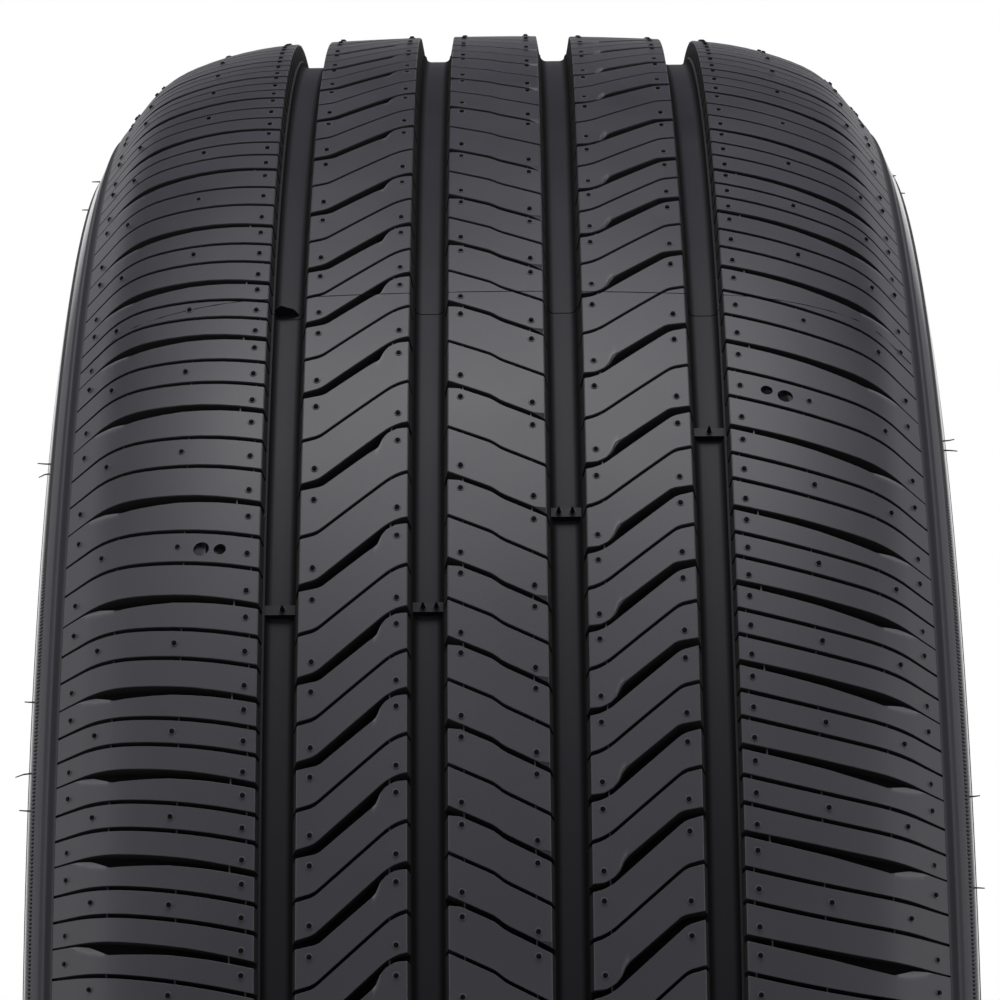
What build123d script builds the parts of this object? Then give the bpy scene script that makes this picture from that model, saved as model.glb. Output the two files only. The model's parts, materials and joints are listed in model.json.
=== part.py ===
"""Car tyre, 235/45 R18: one moulding with a five-rib tread. Millimetres, spin axis on Y, up is Z."""
import os
from itertools import accumulate
from math import degrees

from build123d import *

# Marked size
nominal_width = 235.0
aspect_ratio = 0.45
rim_code_diameter = 457.2
rim_width = 203.2

# Section
section_width = 238.0
seat_radius = 230.5
bead_width = 21.0
crown_gauge = 15.5
side_gauge = 8.6
heel_chamfer = 5.0

# Tread's outline: how far each point lies in from the widest side and below the crown
crown_end = (59.0, 1.95)
brow_end = (29.0, 8.85)
shoulder_end = (16.0, 18.75)
lip = (7.0, 29.95)
lip_root = (7.4, 31.2)
liner_end = (53.0, 2.25)

# Rim guard: how far each point lies in from the widest side and below the rim line
guard_top = (2.5, 0.0)
guard_end = (2.1, 3.5)
guard_nose = (6.8, 9.2)

# Bead: how far each point lies out from the bead's face or its toe, and above the seat
flange_root = (4.5, 18.3)
bead_top = (0.0, 11.5)
toe_root = (4.5, 0.0)
toe = (0.0, 1.6)
toe_top = (2.4, 9.0)
apex = (17.4, 21.5)

# Circumferential grooves
groove_width = 10.3
groove_floor_width = 6.5
groove_depth = 7.4
inner_groove_y = 17.25
outer_groove_y = 53.9

# Pitches round the tread: short, middle and long, and the order in which they follow each other
pitch_lengths = {"S": 22.3, "M": 25.8, "L": 30.1}
pitch_order = (
    "SSSMLLMSML" "MMSSMLLLMS" "SSMMLLSSSM" "LLMSSSMLLM" "MSSSLMMSSL"
    "LLMSSMLMSS" "MLLLMSSMSS" "SMLLMSSLMM" "MS"
)
left_start_angle = 14.4
right_lead_angle = 9.1

# Slots across the shoulders, measured from the middle of the slot's inner end
slot_depth = 6.2
shoulder_slot_half = 0.8
shoulder_slot_lean = 6.4
shoulder_slot_scoop = 2.2
shoulder_slot_end = (23.0, 11.6)

# Slots across the inner ribs: at each bend its distance in from the outer groove, its drop and its half width
rib_slot_start = (0.0, 0.0, 1.2)
rib_slot_bend = (6.5, 1.5, 1.2)
rib_slot_neck = (24.1, 18.0, 0.8)
rib_slot_end = (30.15, 19.3, 0.9)
left_rib_lead = 4.7
right_rib_lead = 5.5

# Slots across the centre rib
centre_slot_depth = 5.0
centre_slot_width = 1.8
centre_slot_slope = 0.53
centre_rib_lead = -22.2

# Wear bars in the grooves
wear_bar_count = 6
wear_bar_length = 4.6
wear_bar_height = 1.6
wear_bar_angle = 30.4
wear_bar_sunk = 0.8

# Worked out from the sizes above
crown_radius = rim_code_diameter / 2 + aspect_ratio * nominal_width
height = crown_radius - seat_radius
half_width = section_width / 2
rim_half = rim_width / 2
widest_radius = seat_radius + 0.486 * height
rim_line_radius = seat_radius + 0.3 * height
above_tread = crown_radius + 4
groove_slant = (groove_width - groove_floor_width) / 2 / groove_depth
grooves = (-outer_groove_y, -inner_groove_y, inner_groove_y, outer_groove_y)


def tread_radius(y):
    """Radius of the tread at a distance y from the centre plane, as far out as the outer grooves."""
    inset, drop = crown_end
    return crown_radius - drop * (y / (half_width - inset)) ** 2


def below(radius, point):
    """A point of the outline from its inset and its drop below a radius."""
    inset, drop = point
    return half_width - inset, radius - drop


def on_bead(face_y, point):
    """A point of the outline from its distance out from a face of the bead and its height above the seat."""
    out, rise = point
    return face_y + out, seat_radius + rise


def half_outline():
    """Outline of the section on one side of the centre plane: crown, side, bead, then back up inside."""
    crown = TangentArc((0, crown_radius), below(crown_radius, crown_end), tangent=(1, 0))
    brow = TangentArc(crown @ 1, below(crown_radius, brow_end), tangent=crown % 1)
    shoulder = TangentArc(brow @ 1, below(crown_radius, shoulder_end), tangent=brow % 1)
    Polyline(shoulder @ 1, below(crown_radius, lip), below(crown_radius, lip_root))
    widest = (half_width, widest_radius)
    TangentArc(widest, below(crown_radius, lip_root), tangent=(0, 1))
    TangentArc(widest, below(rim_line_radius, guard_top), tangent=(0, -1))
    toe_y = rim_half - bead_width
    inner_widest = (half_width - side_gauge, widest_radius - side_gauge / 2)
    Polyline(
        below(rim_line_radius, guard_top),
        below(rim_line_radius, guard_end),
        below(rim_line_radius, guard_nose),
        on_bead(rim_half, flange_root),
        on_bead(rim_half, bead_top),
        on_bead(rim_half, (0, heel_chamfer)),
        on_bead(rim_half, (-heel_chamfer, 0)),
        on_bead(toe_y, toe_root),
        on_bead(toe_y, toe),
        on_bead(toe_y, toe_top),
        on_bead(toe_y, apex),
        inner_widest,
    )
    inner_radius = crown_radius - crown_gauge
    liner = TangentArc((0, inner_radius), below(inner_radius, liner_end), tangent=(1, 0))
    TangentArc(liner @ 1, inner_widest, tangent=liner % 1)
    Line((0, inner_radius), (0, crown_radius))


def groove_corners(y):
    """Corners of a groove's section: slanting walls, from its floor to above the tread."""
    floor = tread_radius(y) - groove_depth
    floor_half = groove_floor_width / 2
    top_half = floor_half + groove_slant * (above_tread - floor)
    return [
        (y - floor_half, floor),
        (y + floor_half, floor),
        (y + top_half, above_tread),
        (y - top_half, above_tread),
    ]


def cutter(plane, corners, reach):
    """A prism that stands on a plane and reaches out past the tread."""
    with BuildPart() as prism:
        with BuildSketch(plane):
            with BuildLine():
                Polyline(*corners, close=True)
            make_face()
        extrude(amount=reach)
    return prism.part


def shoulder_slot(side):
    """A shoulder's slot on the left (-1) or right (1): it climbs to the left, widens on its lower edge
    as it runs out, and its floor rises to end on the shoulder."""
    start_y = outer_groove_y + groove_floor_width / 2
    start_radius = tread_radius(outer_groove_y) - slot_depth
    end_y, end_radius = below(crown_radius, shoulder_slot_end)
    outwards = Vector(end_radius - start_radius, side * (end_y - start_y), 0)
    upwards = Vector(end_y - start_y, side * (start_radius - end_radius), 0)
    floor = Plane(origin=(start_radius, side * start_y, 0), x_dir=outwards, z_dir=upwards)
    run = outwards.length
    end_middle = -side * shoulder_slot_lean
    corners = [
        (0, -side * shoulder_slot_half),
        (run, side * (end_middle - shoulder_slot_scoop)),
        (run, side * (end_middle + shoulder_slot_half)),
        (0, side * shoulder_slot_half),
    ]
    return cutter(floor, corners, 2 * groove_depth)


def rib_slot():
    """Right rib's slot: a diagonal with level ends, narrower at its inner end."""
    outer_y = outer_groove_y - groove_floor_width / 2
    floor = tread_radius(outer_groove_y) - slot_depth
    bends = (rib_slot_start, rib_slot_bend, rib_slot_neck, rib_slot_end)
    upper = [(outer_y - inset, half - drop) for inset, drop, half in bends]
    lower = [(outer_y - inset, -half - drop) for inset, drop, half in bends]
    return cutter(Plane.YZ.offset(floor), upper + lower[::-1], above_tread - floor)


def centre_slot():
    """Centre rib's slot: a straight diagonal from groove to groove."""
    edge_y = inner_groove_y - groove_floor_width / 2
    rise = centre_slot_slope * edge_y
    half = centre_slot_width / 2
    floor = crown_radius - centre_slot_depth
    corners = [
        (-edge_y, rise - half),
        (edge_y, -rise - half),
        (edge_y, -rise + half),
        (-edge_y, rise + half),
    ]
    return cutter(Plane.YZ.offset(floor), corners, above_tread - floor)


def wear_bar(y):
    """A low bar across a groove's floor, sunk a little into it and its walls."""
    floor = tread_radius(y) - groove_depth
    bar_width = groove_floor_width + 2 * groove_slant * wear_bar_height + 2 * wear_bar_sunk
    with BuildPart() as bar:
        with Locations((floor - wear_bar_sunk, y, 0)):
            Box(
                wear_bar_height + wear_bar_sunk,
                bar_width,
                wear_bar_length,
                align=(Align.MIN, Align.CENTER, Align.CENTER),
            )
    return bar.part


def turned(angles):
    """Places round the spin axis. An angle is in degrees, from +X towards +Z."""
    return [Location((0, 0, 0), (0, -angle, 0)) for angle in angles]


def pitch_places(start_angle, lead):
    """One place a pitch, from a start angle and a lead along the tread."""
    lengths = [pitch_lengths[letter] for letter in pitch_order]
    starts = [0] + list(accumulate(lengths))[:-1]
    first = start_angle + degrees(lead / crown_radius)
    return turned([first + 360 * start / sum(lengths) for start in starts])


right_start_angle = left_start_angle + right_lead_angle
half_turn = Rotation(180, 0, 0)

with BuildPart() as tyre:
    with BuildSketch(Plane.YZ):
        with BuildLine():
            half_outline()
        make_face()
        mirror(about=Plane.YZ)
        for y in grooves:
            with BuildLine():
                Polyline(*groove_corners(y), close=True)
            make_face(mode=Mode.SUBTRACT)
    revolve(axis=Axis.Y)
    slots = [
        (shoulder_slot(-1), left_start_angle, 0),
        (half_turn * rib_slot(), left_start_angle, left_rib_lead),
        (centre_slot(), right_start_angle, centre_rib_lead),
        (rib_slot(), right_start_angle, right_rib_lead),
        (shoulder_slot(1), right_start_angle, 0),
    ]
    for slot, start_angle, lead in slots:
        with Locations(*pitch_places(start_angle, lead)):
            add(slot, mode=Mode.SUBTRACT)
    wear_bar_leads = (0, 0, right_lead_angle / 2, right_lead_angle)
    for y, lead_angle in zip(grooves, wear_bar_leads):
        first = wear_bar_angle + lead_angle
        step = 360 / wear_bar_count
        with Locations(*turned([first + step * i for i in range(wear_bar_count)])):
            add(wear_bar(y))

tyre.part.label = "tyre"
os.makedirs("parts", exist_ok=True)
export_step(tyre.part, "parts/tyre.step")
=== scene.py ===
# %% [markdown]
# # Dressing a car tyre
#
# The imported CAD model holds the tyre's true size, its section, its four grooves and its wide slots.
# This lesson builds the skin that the eye sees: every land of the tread as a block of its own, the
# thin sipes between the lands, the marks that a mould leaves behind, and black rubber over all of it.
# The frame comes first, because each piece takes its place and size from it.

# %% Load the CAD frame
import json
from functools import partial
from math import atan2, cos, pi, radians, sin

import bmesh
import bpy
import numpy as np
from mathutils import Matrix, Vector


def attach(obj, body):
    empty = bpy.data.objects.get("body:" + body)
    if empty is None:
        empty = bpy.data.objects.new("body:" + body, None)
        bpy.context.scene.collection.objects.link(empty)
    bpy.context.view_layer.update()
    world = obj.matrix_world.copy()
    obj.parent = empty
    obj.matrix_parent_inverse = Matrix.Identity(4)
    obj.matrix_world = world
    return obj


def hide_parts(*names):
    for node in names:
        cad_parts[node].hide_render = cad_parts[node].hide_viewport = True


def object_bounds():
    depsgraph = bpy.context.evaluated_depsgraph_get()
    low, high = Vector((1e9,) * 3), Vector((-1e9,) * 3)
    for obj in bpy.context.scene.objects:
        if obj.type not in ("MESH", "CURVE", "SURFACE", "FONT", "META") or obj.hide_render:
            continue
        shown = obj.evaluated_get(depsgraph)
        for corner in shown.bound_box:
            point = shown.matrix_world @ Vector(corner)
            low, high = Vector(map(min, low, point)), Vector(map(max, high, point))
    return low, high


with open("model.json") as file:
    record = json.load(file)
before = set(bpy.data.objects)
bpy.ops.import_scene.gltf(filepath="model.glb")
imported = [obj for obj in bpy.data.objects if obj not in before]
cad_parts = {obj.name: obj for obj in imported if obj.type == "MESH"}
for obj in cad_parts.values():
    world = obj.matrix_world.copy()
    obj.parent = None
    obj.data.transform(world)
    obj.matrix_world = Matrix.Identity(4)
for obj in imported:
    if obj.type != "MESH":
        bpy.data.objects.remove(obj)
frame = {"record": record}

cad_low, cad_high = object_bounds()
print("CAD box", [round(v, 4) for v in cad_low], [round(v, 4) for v in cad_high])

# %% [markdown]
# The tyre spins about Y and stands upright on Z. Small details are easier to think of in
# millimetres, so the drawing below is in millimetres and turns into metres only where a mesh is made.
# The main radii come from the CAD box and from the bore that the rim presses into. The bore ends
# where the bead's heel is chamfered, so the bead's face lies one chamfer further out.

# %% Sizes taken from the frame
mm = 0.001
heel_chamfer = 5.0
crown = cad_high.z / mm
half_width = cad_high.y / mm
bore = frame["record"]["mounts"][0]["dims"]
seat = bore["r_mm"]
rim_half = bore["length_mm"] / 2 + heel_chamfer
print(f"crown radius {crown:.2f}, half width {half_width:.2f}, seat radius {seat:.2f} mm")

# %% [markdown]
# Seen in section, a tread is not a cylinder: it is nearly flat in the middle and rolls over at the
# shoulders. A list of many points would copy that curve, but three arcs that run on from each other
# say the same with three end points. An arc needs only its start, its heading there and its end,
# because the angle between heading and chord is half of what the arc turns.

# %% The tread's section from three tangent arcs
# How far each arc's end, and then the lip, lies in from the widest side and below the crown
crown_end, brow_end, shoulder_end, lip_end = (59.0, 1.95), (29.0, 8.85), (16.0, 18.75), (7.0, 29.95)
fall_places = (60, 90, 109)


def below(radius, point):
    """A point of the section, from how far it lies in from the widest side and below a radius."""
    inset, drop = point
    return half_width - inset, radius - drop


def turned(vector, angle):
    """A flat vector turned anticlockwise."""
    c, s = cos(angle), sin(angle)
    return np.array((c * vector[0] - s * vector[1], s * vector[0] + c * vector[1]))


def tangent_arc(start, heading, end, steps=12):
    """Points on the arc that leaves start along heading and reaches end, and its heading there."""
    start, heading = np.array(start, float), np.array(heading, float)
    chord = np.array(end, float) - start
    across = heading[0] * chord[1] - heading[1] * chord[0]
    half_turn = atan2(across, heading @ chord)
    diameter = np.linalg.norm(chord) / sin(half_turn)
    heading = heading / np.linalg.norm(heading)
    shares = np.linspace(0, 1, steps + 1) * half_turn
    points = [start + diameter * sin(a) * turned(heading, a) for a in shares]
    return np.array(points), turned(heading, 2 * half_turn)


crown_arc, lean = tangent_arc((0, crown), (1, 0), below(crown, crown_end))
brow_arc, lean = tangent_arc(crown_arc[-1], lean, below(crown, brow_end))
shoulder_arc, _ = tangent_arc(brow_arc[-1], lean, below(crown, shoulder_end))
lip = below(crown, lip_end)
tread_line = np.vstack((crown_arc, brow_arc[1:], shoulder_arc[1:], [lip]))


def tread_radius(y):
    """Radius of the tread's surface at a distance y from the middle."""
    return np.interp(np.abs(y), tread_line[:, 0], tread_line[:, 1])


falls = [round(float(crown - tread_radius(y)), 1) for y in fall_places]
print("the tread falls away by", falls, "mm at", fall_places)

# %% [markdown]
# A tread repeats, but not evenly: if every pitch had the same length the tyre would sing one loud
# note. This one has short, middle and long pitches in a mixed order. A small mesh of loose points,
# one a pitch, carries the order as a number on each point, and the node tree further down reads it.

# %% The order of the pitches
sizes = ("Short", "Middle", "Long")
drawn_lengths = {"S": 22.3, "M": 25.8, "L": 30.1}
pitch_order = (
    "SSSMLLMSML" "MMSSMLLLMS" "SSMMLLSSSM" "LLMSSSMLLM" "MSSSLMMSSL"
    "LLMSSMLMSS" "MLLLMSSMSS" "SMLLMSSLMM" "MS"
)
fit_round = 2 * pi * crown / sum(drawn_lengths[letter] for letter in pitch_order)
pitch_lengths = [length * fit_round for length in drawn_lengths.values()]
left_start, right_start = radians(14.45), radians(23.65)

pitch_marks = bpy.data.meshes.new("pitch_marks")
pitch_marks.from_pydata([(0, 0, 0)] * len(pitch_order), [], [])
kinds = pitch_marks.attributes.new("kind", "INT", "POINT")
kinds.data.foreach_set("value", ["SML".index(letter) for letter in pitch_order])
print(len(pitch_order), "pitches of", [round(length, 2) for length in pitch_lengths], "mm")

# %% [markdown]
# Many of the pieces are simple closed blocks: a row of like-shaped sections with quads between them
# and a cap on each end. One small class collects such blocks and turns them into a mesh. Recalculating
# the normals at the end means that no block has to care which way round its sections were listed.

# %% A collector of closed blocks
def face_outwards(mesh):
    """Turns every face of a mesh of closed blocks outwards."""
    work = bmesh.new()
    work.from_mesh(mesh)
    bmesh.ops.recalc_face_normals(work, faces=work.faces)
    work.to_mesh(mesh)
    work.free()


def mark_points(mesh, highlights, shades):
    """Stores on each point of a mesh how much painted highlight and painted shade it gets, for the shaders to
    read.
    """
    for name, values in (("edge", highlights), ("shade", shades)):
        marks = mesh.attributes.new(name, "FLOAT", "POINT")
        marks.data.foreach_set("value", np.array(values, np.float32))


class Blocks:
    """Closed blocks, drawn in millimetres, that become one mesh."""

    def __init__(self):
        self.points = []
        self.faces = []
        self.highlights = []
        self.shades = []

    def loft(self, sections, highlights=None, shades=None):
        """Adds a block through sections of as many points each, with marks for painted highlight and painted
        shade on its points.
        """
        sections = np.asarray(sections, float)
        count, size, _ = sections.shape
        first = len(self.points)
        self.points.extend(sections.reshape(-1, 3))
        self.highlights.extend(np.zeros(count * size) if highlights is None else np.ravel(highlights))
        self.shades.extend(np.zeros(count * size) if shades is None else np.ravel(shades))
        last = first + (count - 1) * size
        for row in range(first, last, size):
            for k in range(size):
                after = (k + 1) % size
                self.faces.append((row + k, row + after, row + size + after, row + size + k))
        for cap in (first, last):
            self.faces.append(tuple(range(cap, cap + size)))

    def half_turned(self, length):
        """The same pitch seen upside down, as the other half of the tread has it."""
        self.points = [(x, -y, length - s) for x, y, s in self.points]
        return self

    def mesh(self, name):
        """The blocks as a mesh in metres, with every face outwards."""
        mesh = bpy.data.meshes.new(name)
        mesh.from_pydata([tuple(np.array(p) * mm) for p in self.points], [], self.faces)
        mark_points(mesh, self.highlights, self.shades)
        face_outwards(mesh)
        return mesh


# %% [markdown]
# Node trees are built with the same few calls each time: make a node, set its options, then fill its
# inputs with values or with links. Helpers for that keep each tree readable, for shaders as well as for
# geometry. Where a node stands as a value, its first output is meant. Every geometry tree ends alike
# too: it sets the rubber and hands its geometry on.

# %% Helpers for node trees
float_socket, int_socket, vector_socket = "NodeSocketFloat", "NodeSocketInt", "NodeSocketVector"
shape_socket, object_socket, rubber_socket = "NodeSocketGeometry", "NodeSocketObject", "NodeSocketMaterial"


def fill(node, inputs):
    """Gives a node's inputs their values, or links from a socket or from another node's first output."""
    for socket, value in inputs.items():
        if isinstance(value, bpy.types.Node):
            value = value.outputs[0]
        if isinstance(value, bpy.types.NodeSocket):
            node.id_data.links.new(value, node.inputs[socket])
        else:
            node.inputs[socket].default_value = value


def add_node(tree, kind, inputs=None, **options):
    """A new node, with its options set and its inputs filled."""
    node = tree.nodes.new(kind)
    for option, value in options.items():
        setattr(node, option, value)
    fill(node, inputs or {})
    return node


def math_node(tree, operation, *values):
    """A Math node on up to three values, sockets or nodes."""
    return add_node(tree, "ShaderNodeMath", dict(enumerate(values)), operation=operation)


def new_group(name, kind, inputs, outputs):
    """An empty node group with named sockets, what it is given, and the node that takes its result."""
    tree = bpy.data.node_groups.new(name, kind)
    for label, socket in inputs.items():
        tree.interface.new_socket(label, in_out="INPUT", socket_type=socket)
    for label, socket in outputs.items():
        tree.interface.new_socket(label, in_out="OUTPUT", socket_type=socket)
    print("group", name, "takes", ", ".join(inputs))
    return tree, tree.nodes.new("NodeGroupInput").outputs, tree.nodes.new("NodeGroupOutput")


def end_tree(tree, shape, given, result):
    """Ends a geometry tree: the rubber is set and the shape goes out."""
    coated = add_node(tree, "GeometryNodeSetMaterial", {"Geometry": shape, "Material": given["Rubber"]})
    fill(result, {"Geometry": coated})
    print("tree", tree.name, "has", len(tree.nodes), "nodes")


# %% [markdown]
# This tree is the rule that makes the tread. It lays one flat pitch after another along a line, each
# point starting where the lengths before it add up to. The number on a point chooses its length, and
# it also chooses which of the three drawn pitches is set there.

# %% A tree that lays pitches in a row
lay_inputs = {
    "Geometry": shape_socket,
    **{f"{size} pitch": object_socket for size in sizes},
    **{f"{size} length": float_socket for size in sizes},
    "Start angle": float_socket,
    "Bend radius": float_socket,
    "Rubber": rubber_socket,
}
shape_output = {"Geometry": shape_socket}
lay_tree, given, result = new_group("Lay pitches and bend", "GeometryNodeTree", lay_inputs, shape_output)
kind = add_node(lay_tree, "GeometryNodeInputNamedAttribute", {"Name": "kind"}, data_type="INT")
pitch_length = add_node(lay_tree, "GeometryNodeIndexSwitch", data_type="FLOAT")
pitch_length.index_switch_items.new()
fill(pitch_length, dict(enumerate([kind, *(given[f"{size} length"] for size in sizes)])))
run = add_node(lay_tree, "GeometryNodeAccumulateField", {"Value": pitch_length}, data_type="FLOAT")
place = add_node(lay_tree, "ShaderNodeCombineXYZ", {"Z": run.outputs["Trailing"]})
spaced = add_node(lay_tree, "GeometryNodeSetPosition", {"Geometry": given["Geometry"], "Position": place})
strip = add_node(lay_tree, "GeometryNodeJoinGeometry")
for number, size in enumerate(sizes):
    # Sockets 2 and 3 of a Compare node are its two whole numbers
    chosen = add_node(
        lay_tree, "FunctionNodeCompare", {2: kind, 3: number}, data_type="INT", operation="EQUAL"
    )
    pitch = add_node(lay_tree, "GeometryNodeObjectInfo", {"Object": given[f"{size} pitch"]})
    copies = add_node(
        lay_tree,
        "GeometryNodeInstanceOnPoints",
        {"Points": spaced, "Selection": chosen, "Instance": pitch.outputs["Geometry"]},
    )
    fill(strip, {"Geometry": copies})

# %% [markdown]
# Then the tree bends the whole strip into a ring. Flat pitches stand at x = radius, so bending is one
# step: the distance along the strip becomes an angle. Bending after laying keeps every wall square to
# the tread and every joint between pitches true.

# %% The same tree bends the row round
flat = add_node(lay_tree, "GeometryNodeRealizeInstances", {"Geometry": strip})
where = add_node(lay_tree, "GeometryNodeInputPosition")
part = add_node(lay_tree, "ShaderNodeSeparateXYZ", {"Vector": where}).outputs
swing = math_node(lay_tree, "DIVIDE", part["Z"], given["Bend radius"])
swing = math_node(lay_tree, "ADD", swing, given["Start angle"])
bent = add_node(
    lay_tree,
    "ShaderNodeCombineXYZ",
    {
        "X": math_node(lay_tree, "MULTIPLY", part["X"], math_node(lay_tree, "COSINE", swing)),
        "Y": part["Y"],
        "Z": math_node(lay_tree, "MULTIPLY", part["X"], math_node(lay_tree, "SINE", swing)),
    },
)
ring = add_node(lay_tree, "GeometryNodeSetPosition", {"Geometry": flat, "Position": bent})
end_tree(lay_tree, ring, given, result)

# %% [markdown]
# Other details repeat evenly round the tyre, such as wear bars and sidewall ridges. They need a
# simpler rule: a number of copies of one small mesh, each turned a little further about the spin axis.

# %% A tree that sets copies round the tyre
ring_inputs = {
    "Copy": object_socket,
    "Count": int_socket,
    "First angle": float_socket,
    "Rubber": rubber_socket,
}
ring_tree, given, result = new_group("Ring of copies", "GeometryNodeTree", ring_inputs, shape_output)
seats = add_node(ring_tree, "GeometryNodePoints", {"Count": given["Count"]})
number = add_node(ring_tree, "GeometryNodeInputIndex")
step = math_node(ring_tree, "DIVIDE", 2 * pi, given["Count"])
angle = math_node(ring_tree, "MULTIPLY_ADD", number, step, given["First angle"])
turn = add_node(ring_tree, "ShaderNodeCombineXYZ", {"Y": math_node(ring_tree, "MULTIPLY", angle, -1.0)})
copy = add_node(ring_tree, "GeometryNodeObjectInfo", {"Object": given["Copy"]})
copies = add_node(
    ring_tree,
    "GeometryNodeInstanceOnPoints",
    {"Points": seats, "Instance": copy.outputs["Geometry"], "Rotation": turn},
)
real = add_node(ring_tree, "GeometryNodeRealizeInstances", {"Geometry": copies})
end_tree(ring_tree, real, given, result)

# %% [markdown]
# A modifier's inputs are set by the sockets' identifiers before the object is first evaluated. The
# evaluated result is then kept as a plain mesh and the modifier goes, so that nothing live is left.

# %% Running a tree and keeping its mesh
crease = radians(15)


def place_object(name, mesh):
    """An object at the origin that shows a mesh."""
    piece = bpy.data.objects.new(name, mesh)
    bpy.context.scene.collection.objects.link(piece)
    return piece


def smooth_faces(mesh, angle=crease):
    """Smooth shading that still breaks at the sharp edges."""
    mesh.shade_smooth()
    mesh.set_sharp_from_angle(angle=angle)


def keep_mesh(piece):
    """Turns what a piece's modifier makes into its plain mesh."""
    made = bpy.data.meshes.new_from_object(piece.evaluated_get(bpy.context.evaluated_depsgraph_get()))
    piece.modifiers.clear()
    piece.data = made
    smooth_faces(made)
    print(piece.name, "has", sum(len(face.vertices) - 2 for face in made.polygons), "triangles")


def grow(name, mesh, tree, values):
    """Runs a tree on a mesh and keeps what it makes as a plain piece."""
    piece = place_object(name, mesh)
    rule = piece.modifiers.new("rule", "NODES")
    rule.node_group = tree
    for item in tree.interface.items_tree:
        if item.name in values:
            rule[item.identifier] = values[item.name]
    keep_mesh(piece)
    return piece


def lay(name, draw, start, lead, rubber):
    """Draws a flat pitch in each of the three lengths, then lays and bends all of them."""
    values = {"Start angle": start + lead / crown, "Bend radius": crown * mm, "Rubber": rubber}
    flats = []
    for size, length in zip(sizes, pitch_lengths):
        flats.append(place_object(f"{name}_{size}", draw(length).mesh(name)))
        values[f"{size} pitch"] = flats[-1]
        values[f"{size} length"] = length * mm
    piece = grow(name, pitch_marks, lay_tree, values)
    for flat in flats:
        bpy.data.objects.remove(flat)
    return piece


def repeat(name, blocks, count, first_angle, rubber):
    """Sets copies of one small mesh round the tyre."""
    copy = place_object(f"{name}_copy", blocks.mesh(name))
    values = {"Copy": copy, "Count": count, "First angle": first_angle, "Rubber": rubber}
    piece = grow(name, bpy.data.meshes.new(name), ring_tree, values)
    bpy.data.objects.remove(copy)
    return piece


# %% [markdown]
# Black rubber is never one flat black. It has a fine grain from the mould's skin and soft clouds where
# it cured a little differently. Every finish uses these with values of its own, so they are one shader
# group, made once.

# %% Shader group: grain and clouds
pit_share = 0.5
cloud_low, cloud_high = 0.3, 0.7
grain_group, given, result = new_group(
    "Rubber grain",
    "ShaderNodeTree",
    {"Vector": vector_socket, "Grain scale": float_socket, "Cloud scale": float_socket},
    {"Grain": float_socket, "Clouds": float_socket},
)
fine = add_node(
    grain_group,
    "ShaderNodeTexNoise",
    {"Vector": given["Vector"], "Scale": given["Grain scale"], "Detail": 3.0, "Roughness": 0.6},
)
pits = add_node(
    grain_group,
    "ShaderNodeTexVoronoi",
    {"Vector": given["Vector"], "Scale": given["Grain scale"]},
    feature="SMOOTH_F1",
)
grain = math_node(grain_group, "MULTIPLY_ADD", pits.outputs["Distance"], pit_share, fine)
clouds = add_node(
    grain_group,
    "ShaderNodeTexNoise",
    {"Vector": given["Vector"], "Scale": given["Cloud scale"], "Detail": 5.0, "Roughness": 0.55},
)
spread = add_node(
    grain_group, "ShaderNodeMapRange", {"Value": clouds, "From Min": cloud_low, "From Max": cloud_high}
)
fill(result, {"Grain": grain, "Clouds": spread})

# %% [markdown]
# The plates that shape a tyre's sides are turned on a lathe, and the tool leaves fine rings in them
# that print onto the rubber. A noise that is read only along the radius gives rings of uneven depth,
# which a regular wave would not.

# %% Shader group: turning rings of the mould
rings_group, given, result = new_group(
    "Turning rings",
    "ShaderNodeTree",
    {"Vector": vector_socket, "Ring spacing": float_socket},
    {"Rings": float_socket},
)
part = add_node(rings_group, "ShaderNodeSeparateXYZ", {"Vector": given["Vector"]}).outputs
flat_point = add_node(rings_group, "ShaderNodeCombineXYZ", {"X": part["X"], "Y": part["Z"]})
radius = add_node(rings_group, "ShaderNodeVectorMath", {0: flat_point}, operation="LENGTH").outputs["Value"]
turns = math_node(rings_group, "DIVIDE", radius, given["Ring spacing"])
uneven = add_node(
    rings_group, "ShaderNodeTexNoise", {"W": turns, "Scale": 1.0, "Detail": 2.0}, noise_dimensions="1D"
)
fill(result, {"Rings": uneven})

# %% [markdown]
# One function makes every rubber finish from those groups. Each finish has its own two tones, gloss
# and grain. The mesh attribute called edge marks the rims of the lands and other edges, which get a
# painted highlight, and the one called shade marks deep places, which get painted shade: nearly black
# and dull. What is the same all over, such as the specular level, is set on the shader itself.

# %% A function for rubber finishes
# Painted highlight: the tone that points marked as edge are lightened towards. Painted shade: the tone that
# points marked as shade are darkened towards.
highlight_tone = (0.095, 0.095, 0.106, 1)
highlight_falloff = 6.0
shade_tone = (0.003, 0.003, 0.0035, 1)
shade_roughness = 0.85
cloud_scale = 26.0
relief_height = 0.3 * mm


def mark_value(tree, name):
    """What the points of a mesh say under an attribute's name."""
    return add_node(tree, "ShaderNodeAttribute", attribute_name=name).outputs["Fac"]


def mix_tones(tree, share, first, second):
    """A tone between two. A Mix node takes colours in sockets 6 and 7 and gives one in its output 2."""
    return add_node(tree, "ShaderNodeMix", {0: share, 6: first, 7: second}, data_type="RGBA").outputs[2]


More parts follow.
